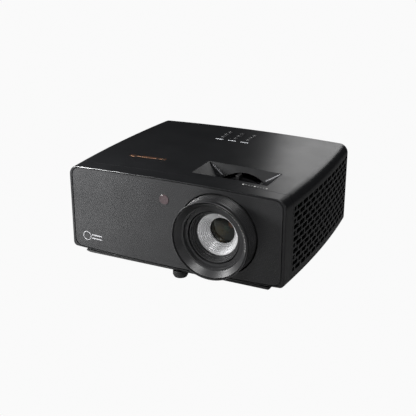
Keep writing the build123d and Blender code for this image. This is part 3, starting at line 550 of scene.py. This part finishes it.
def glass_with_painted_glints(name, depth_and_painted_glints):
    """Dark coated glass with light painted into its colour. Each entry is (x, z, reach, colour): a patch of
    that colour fades out with distance from (x, z) across the lens axis, smoothly to nothing at reach. Small
    off-centre patches are painted reflections of the coating's glints; broad central ones stand for the
    glass's tint."""
    material, tree, shader, place = node_chain(name)
    colour = None
    for x, z, reach, tint in depth_and_painted_glints:
        shift = tree.nodes.new("ShaderNodeVectorMath")
        shift.operation = "SUBTRACT"
        shift.inputs[1].default_value = (LENS_X + x, 0, LENS_Z + z)
        tree.links.new(place.outputs["Object"], shift.inputs[0])
        flat = tree.nodes.new("ShaderNodeVectorMath")
        flat.operation = "MULTIPLY"
        flat.inputs[1].default_value = (1, 0, 1)
        tree.links.new(shift.outputs[0], flat.inputs[0])
        size = tree.nodes.new("ShaderNodeVectorMath")
        size.operation = "LENGTH"
        tree.links.new(flat.outputs[0], size.inputs[0])
        fade = tree.nodes.new("ShaderNodeMapRange")
        fade.interpolation_type = "SMOOTHSTEP"
        fade.inputs["From Max"].default_value = reach
        fade.inputs["To Min"].default_value = 1.0
        fade.inputs["To Max"].default_value = 0.0
        tree.links.new(size.outputs["Value"], fade.inputs["Value"])
        tint_and_painted_glint = tree.nodes.new("ShaderNodeMix")
        tint_and_painted_glint.data_type = "RGBA"
        tint_and_painted_glint.blend_type = "ADD" if colour is not None else "MIX"
        tree.links.new(fade.outputs["Result"], tint_and_painted_glint.inputs["Factor"])
        if colour is not None:
            tree.links.new(colour, tint_and_painted_glint.inputs["A"])
        else:
            tint_and_painted_glint.inputs["A"].default_value = (0.002, 0.002, 0.002, 1)
        tint_and_painted_glint.inputs["B"].default_value = (*tint, 1)
        colour = tint_and_painted_glint.outputs["Result"]
    tree.links.new(colour, shader.inputs["Base Color"])
    smear = noise(tree, place, 160.0, 3.0)
    tree.links.new(span(tree, smear, 0.03, 0.1), shader.inputs["Roughness"])
    shader.inputs["Specular IOR Level"].default_value = 0.35
    shader.inputs["Coat Weight"].default_value = 0.3
    shader.inputs["Coat Tint"].default_value = (0.75, 1.0, 0.8, 1)
    relief(tree, shader, smear, 0.000004, 0.3)
    return material


# Front element: the first, broad amber patch is the glass's depth; the green, orange and lower amber spots
# are painted reflections of the coating's glints.
front_depth_and_painted_glints = [
    (-0.004, 0.001, 0.017, (0.045, 0.030, 0.010)),
    (0.006, 0.004, 0.006, (0.006, 0.030, 0.020)),
    (0.014, 0.011, 0.008, (0.22, 0.07, 0.035)),
    (-0.002, -0.016, 0.008, (0.03, 0.016, 0.004)),
]
dress(glass_with_painted_glints("front_coating_painted_glints", front_depth_and_painted_glints), "front_lens")
# Inner elements: a broad faint purple tint and one painted reflection, a green glint.
inner_depth_and_painted_glints = [(0.0, 0.0, 0.02, (0.04, 0.02, 0.05)), (0.008, 0.006, 0.01, (0.02, 0.05, 0.04))]
dress(glass_with_painted_glints("inner_coating_painted_glints", inner_depth_and_painted_glints), "zoom_lens", "rear_lens")


# Trims, light bars and keys. The two bright strips in the recess are anodised aluminium, the three
# light bars are milky acrylic, and the nine oval keys are satin black caps with printed signs.
TRIM_TONE = (0.62, 0.62, 0.64)
trim_metal = finish("trim_metal", TRIM_TONE, 0.26, grain=420.0, depth=0.00002, metallic=1.0, spread=0.1)
dress(trim_metal, "recess_trims")
BAR_TONE = (0.8, 0.82, 0.85)
bar_acrylic = finish("bar_acrylic", BAR_TONE, 0.35, grain=900.0, depth=0.00002, spread=0.06, coat=0.3)
dress(bar_acrylic, "status_lights")
key_plastic = finish("key_plastic", (0.03, 0.03, 0.032), 0.42, grain=2400.0, depth=0.00003)
KEY_TOP = 0.14970
KEY_CENTRE = (-0.0019, 0.1044)
KEY_PITCH = (0.0213, 0.0129)
SIGN_REACH = 0.0011
SIGN_INK = 0.00008
SIGN_BORE = 0.68
KEY_GRID = [
    ("power_key", -1, 1, 24, 0.0),
    ("up_key", 0, 1, 3, 90.0),
    ("menu_key", 1, 1, 4, 45.0),
    ("left_key", -1, 0, 3, 180.0),
    ("enter_key", 0, 0, 24, 0.0),
    ("right_key", 1, 0, 3, 0.0),
    ("source_key", -1, -1, 5, 90.0),
    ("down_key", 0, -1, 3, 270.0),
    ("back_key", 1, -1, 6, 0.0),
]


def sign(name, x, y, sides, turn):
    """A printed outline sign on a key: a regular polygon's ring, reach wide, standing by its ink."""
    angle = np.radians(turn) + np.linspace(0, 2 * np.pi, sides, endpoint=False)
    spoke = np.stack([np.cos(angle), np.sin(angle)], -1)
    rings = []
    for radius, z in ((SIGN_BORE, 0), (1.0, 0), (1.0, SIGN_INK), (SIGN_BORE, SIGN_INK)):
        flat = spoke * radius * SIGN_REACH + (x, y)
        rings.append(np.column_stack([flat, np.full(sides, KEY_TOP - SIGN_INK / 2 + z)]))
    i, j = np.meshgrid(np.arange(4), np.arange(sides), indexing="ij")
    after_i, after_j = (i + 1) % 4, (j + 1) % sides
    index = [i * sides + j, i * sides + after_j, after_i * sides + after_j, after_i * sides + j]
    return np.concatenate(rings), np.stack(index, -1).reshape(-1, 4)


for name, column, row, sides, turn in KEY_GRID:
    dress(key_plastic, name)
    x = KEY_CENTRE[0] + column * KEY_PITCH[0]
    y = KEY_CENTRE[1] + row * KEY_PITCH[1]
    mark = add_mesh(name + "_sign", *sign(name, x, y, sides, turn), white_ink, smooth=False)
    placed(mark, name + "_body", "light_bar")


# Inlays and prints on the case: a plain copper bar pattern on the cover, a small ring with two lines
# on the panel, and the zoom marks in front of the recess. All are thin foil or ink.
COVER_TOP = 0.1490
COVER_CROWN = 0.0042
COVER_HALF = 0.1738
FOIL = 0.00012
INLAY_Y = -0.0497
INLAY_HALF_DEPTH = 0.0030
INLAY_INSET = 0.0016
INLAY_BARS = [
    (-0.1085, -0.1005), (-0.0985, -0.0905), (-0.0885, -0.0640), (-0.0620, -0.0540), (-0.0520, -0.0487),
]
MARK_Y = -0.0950
MARKS_X = np.linspace(0.0935, 0.1275, 9)


def cover_height(x):
    """The cover's top at x: top - crown * (x / half)^2."""
    return COVER_TOP - COVER_CROWN * (x / COVER_HALF) ** 2


def on_cover(x0, x1, y0, y1):
    """Corner rows of flat bars laid on the cover, from arrays of their sides."""
    xs = np.stack([x0, x1, x1, x0], 1)
    ys = np.stack([y0, y0, y1, y1], 1)
    return np.stack([xs, ys, cover_height(xs) - FOIL / 2], -1)


copper = finish("copper_foil", (0.72, 0.38, 0.22), 0.3, grain=600.0, depth=0.00002, metallic=1.0, spread=0.15)
sides = np.array(INLAY_BARS)
low_y = np.full(len(sides), INLAY_Y - INLAY_HALF_DEPTH)
high_y = np.full(len(sides), INLAY_Y + INLAY_HALF_DEPTH)
low_y[1::2] += INLAY_INSET
high_y[1::2] -= INLAY_INSET
lift = np.tile((0.0, 0.0, FOIL), (len(sides), 1))
inlay_rows = on_cover(sides[:, 0], sides[:, 1], low_y, high_y)
inlay = add_mesh("copper_inlay", *bars(inlay_rows, lift), copper, smooth=False)
placed(inlay, "case", "silver_trim")

wide = np.where(np.arange(len(MARKS_X)) % 4 == 0, 0.0011, 0.00045)
tall = np.where(np.arange(len(MARKS_X)) % 4 == 0, 0.0016, 0.0010)
lift = np.tile((0.0, 0.0, FOIL), (len(MARKS_X), 1))
mark_rows = on_cover(MARKS_X - wide, MARKS_X + wide, MARK_Y - tall, MARK_Y + tall)
marks = add_mesh("zoom_marks", *bars(mark_rows, lift), white_ink, smooth=False)
placed(marks, "case", "light_bar")

BADGE_X = -0.1418
BADGE_Z = 0.0401
BADGE_RADIUS = 0.0070
BADGE_LINES = [(-0.1336, -0.1164, 0.0428), (-0.1336, -0.1164, 0.0376)]
BADGE_LINE_HALF = 0.0009
BADGE_BORE = 0.86
BADGE_SINK = 0.0004
BADGE_COUNT = 40


def panel_face(x):
    """The panel's face at x: front - bulge * (1 - (x / half)^2)."""
    return PANEL_FRONT - PANEL_BULGE * (1 - (x / PANEL_HALF) ** 2)


angle = np.linspace(0, 2 * np.pi, BADGE_COUNT, endpoint=False)
rings = []
for radius, depth in ((BADGE_BORE, BADGE_SINK), (1.0, BADGE_SINK), (1.0, -FOIL), (BADGE_BORE, -FOIL)):
    x = BADGE_X + BADGE_RADIUS * radius * np.cos(angle)
    z = BADGE_Z + BADGE_RADIUS * radius * np.sin(angle)
    rings.append(np.stack([x, panel_face(x) + depth, z], -1))
i, j = np.meshgrid(np.arange(len(rings)), np.arange(BADGE_COUNT), indexing="ij")
near_row, far_row = i * BADGE_COUNT, (i + 1) % len(rings) * BADGE_COUNT
next_j = (j + 1) % BADGE_COUNT
ring_faces = np.stack([near_row + j, far_row + j, far_row + next_j, near_row + next_j], -1).reshape(-1, 4)
line_rows = np.array(
    [
        [
            (x0, panel_face(x0) + BADGE_SINK, z - BADGE_LINE_HALF),
            (x1, panel_face(x1) + BADGE_SINK, z - BADGE_LINE_HALF),
            (x1, panel_face(x1) + BADGE_SINK, z + BADGE_LINE_HALF),
            (x0, panel_face(x0) + BADGE_SINK, z + BADGE_LINE_HALF),
        ]
        for x0, x1, z in BADGE_LINES
    ]
)
line_points, line_faces = bars(line_rows, np.tile((0.0, -BADGE_SINK - FOIL, 0.0), (len(line_rows), 1)))
badge_points = np.vstack([*rings, line_points])
badge_faces = np.vstack([ring_faces, line_faces + len(rings) * BADGE_COUNT])
grey_ink = finish("grey_ink", (0.26, 0.26, 0.27), 0.4, grain=2500.0, depth=0.00002, spread=0.12)
badge = add_mesh("ring_and_lines_mark", badge_points, badge_faces, grey_ink, smooth=False)
placed(badge, "case", "light_bar")


# Feet and screws. The feet are ribbed black knobs on threaded studs with soft rubber pads, and the
# case is held by black zinc plated screws from below.
FOOT_PLACES = {
    "front_foot": (0.0048, -0.1100),
    "rear_foot_left": (-0.1240, 0.1130),
    "rear_foot_right": (0.1240, 0.1130),
}
FOOT_RADIUS = 0.011
FOOT_RIBS = 36
FOOT_GROOVE = 0.00035
FOOT_GROOVE_START = 0.2
FOOT_SECTION = np.array(
    [(0.0001, 0.002), (0.0095, 0.002), (0.0105, 0.0026), (0.011, 0.0036), (0.011, 0.0062), (0.011, 0.0092),
     (0.0104, 0.0105), (0.004, 0.0105), (0.004, 0.031), (0.0001, 0.031)]
)


def knob(x, y):
    """A foot turned about its stud: x = x0 + r cos a, y = y0 + r sin a, with r less by the groove's
    depth in every groove where the section is at its full radius."""
    count = FOOT_RIBS * 4
    angle = np.linspace(0, 2 * np.pi, count, endpoint=False)
    radius = np.repeat(FOOT_SECTION[:, 0:1], count, 1)
    groove = (np.sin(angle * FOOT_RIBS) > FOOT_GROOVE_START)[None, :] & (radius > FOOT_RADIUS - 1e-5)
    radius = radius - FOOT_GROOVE * groove
    z = np.repeat(FOOT_SECTION[:, 1:2], count, 1)
    points = np.stack([x + radius * np.cos(angle), y + radius * np.sin(angle), z], -1)
    rows = len(FOOT_SECTION)
    i, j = np.meshgrid(np.arange(rows), np.arange(count), indexing="ij")
    after_i, after_j = (i + 1) % rows, (j + 1) % count
    faces = np.stack([i * count + j, i * count + after_j, after_i * count + after_j, after_i * count + j], -1)
    return points.reshape(-1, 3), faces.reshape(-1, 4)


foot_plastic = finish("foot_plastic", (0.012, 0.012, 0.012), 0.5, grain=1800.0)
pad_rubber = finish("pad_rubber", (0.01, 0.01, 0.01), 0.78, grain=1500.0, depth=0.0001)
for name, (x, y) in FOOT_PLACES.items():
    ribbed = add_mesh(name + "_knob", *knob(x, y), foot_plastic, sharp=0.5)
    placed(ribbed, name + "_set", "foot_black", name)
    dress(pad_rubber, name + "_pad")
screw_zinc = finish("screw_zinc", (0.04, 0.04, 0.042), 0.32, grain=900.0, depth=0.00003, metallic=0.9)
dress(screw_zinc, "case_screws")


# Rear sockets: nickel plated folded shells, black moulded jacks and mains inlet, seen through the
# cut-outs of the rear plate. The plating is a little scratched by plugs.
NICKEL_TONE = (0.55, 0.54, 0.52)
socket_nickel = finish(
    "socket_nickel", NICKEL_TONE, 0.28, grain=500.0, depth=0.00002, metallic=1.0, spread=0.15
)
dress(socket_nickel, "hdmi_ports", "usb_port", "lan_port")
socket_plastic = finish("socket_plastic", (0.013, 0.013, 0.014), 0.36, grain=1500.0)
dress(socket_plastic, "audio_jacks", "ac_inlet")


# Light engine: a cast aluminium tray and box with machined seats, a diode block, extruded heat
# sinks, two small motors, a phosphor disc, a filter disc, and optics of plain glass.
CAST_TONE = (0.42, 0.42, 0.43)
cast_metal = finish("cast_metal", CAST_TONE, 0.48, grain=380.0, depth=0.00015, metallic=0.9, spread=0.2)
dress(cast_metal, "engine_housing", "laser_bank", "lens_flange")
SINK_TONE = (0.5, 0.5, 0.52)
sink_metal = finish("sink_metal", SINK_TONE, 0.36, grain=260.0, depth=0.00006, metallic=1.0, spread=0.15)
dress(sink_metal, "chip_heatsink", "laser_heatsink")
motor_steel = finish("motor_steel", (0.45, 0.45, 0.46), 0.3, grain=600.0, depth=0.00003, metallic=1.0)
dress(motor_steel, "phosphor_motor", "color_motor")
phosphor_coat = finish("phosphor_coat", (0.72, 0.6, 0.08), 0.6, grain=2600.0, depth=0.00005, spread=0.15)
dress(phosphor_coat, "phosphor_wheel")
FILTER_TONE = (0.12, 0.08, 0.3)
filter_glass = finish("filter_glass", FILTER_TONE, 0.1, grain=300.0, depth=0.00001, spread=0.5, coat=0.8)
dress(filter_glass, "color_wheel")
OPTIC_TONE = (0.2, 0.23, 0.24)
optic_glass = finish("optic_glass", OPTIC_TONE, 0.06, grain=300.0, depth=0.00001, spread=0.2, coat=1.0)
dress(optic_glass, "prism", "light_tunnel")


# Boards: glass-fibre laminate under green solder mask, with copper tracks just under the mask and
# pale printed outlines. Chips, coils and capacitors stand on them.
def board_mask(name, tone, track_tone):
    """Solder mask with tracks: a square-celled pattern lifts and lightens the mask over copper."""
    material, tree, shader, place = node_chain(name)
    cells = tree.nodes.new("ShaderNodeTexVoronoi")
    cells.distance = "MANHATTAN"
    cells.inputs["Scale"].default_value = 190.0
    tree.links.new(place.outputs["Object"], cells.inputs["Vector"])
    tracks = ramp(tree, cells.outputs["Distance"], 0.5, 0.56, tone, track_tone)
    tree.links.new(tracks, shader.inputs["Base Color"])
    cloud = noise(tree, place, 60.0, 3.0)
    tree.links.new(span(tree, cloud, 0.22, 0.4), shader.inputs["Roughness"])
    relief(tree, shader, cells.outputs["Distance"], 0.00008)
    return material


green_mask = board_mask("board_mask", (0.008, 0.07, 0.025), (0.03, 0.17, 0.06))
dress(green_mask, "main_board", "chip_board", "keypad_board")
dress(board_mask("power_mask", (0.012, 0.05, 0.03), (0.16, 0.13, 0.05)), "power_supply")


# Fans and loudspeaker: black glass-filled mouldings, slightly dusty at the blade edges.
fan_plastic = finish("fan_plastic", (0.014, 0.014, 0.015), 0.46, grain=900.0, depth=0.00008)
dress(fan_plastic, "exhaust_fan_frame", "intake_fan_frame", "speaker")
rotor_plastic = finish("rotor_plastic", (0.019, 0.019, 0.02), 0.4, grain=700.0, depth=0.00006, spread=0.5)
dress(rotor_plastic, "exhaust_fan_rotor", "intake_fan_rotor")
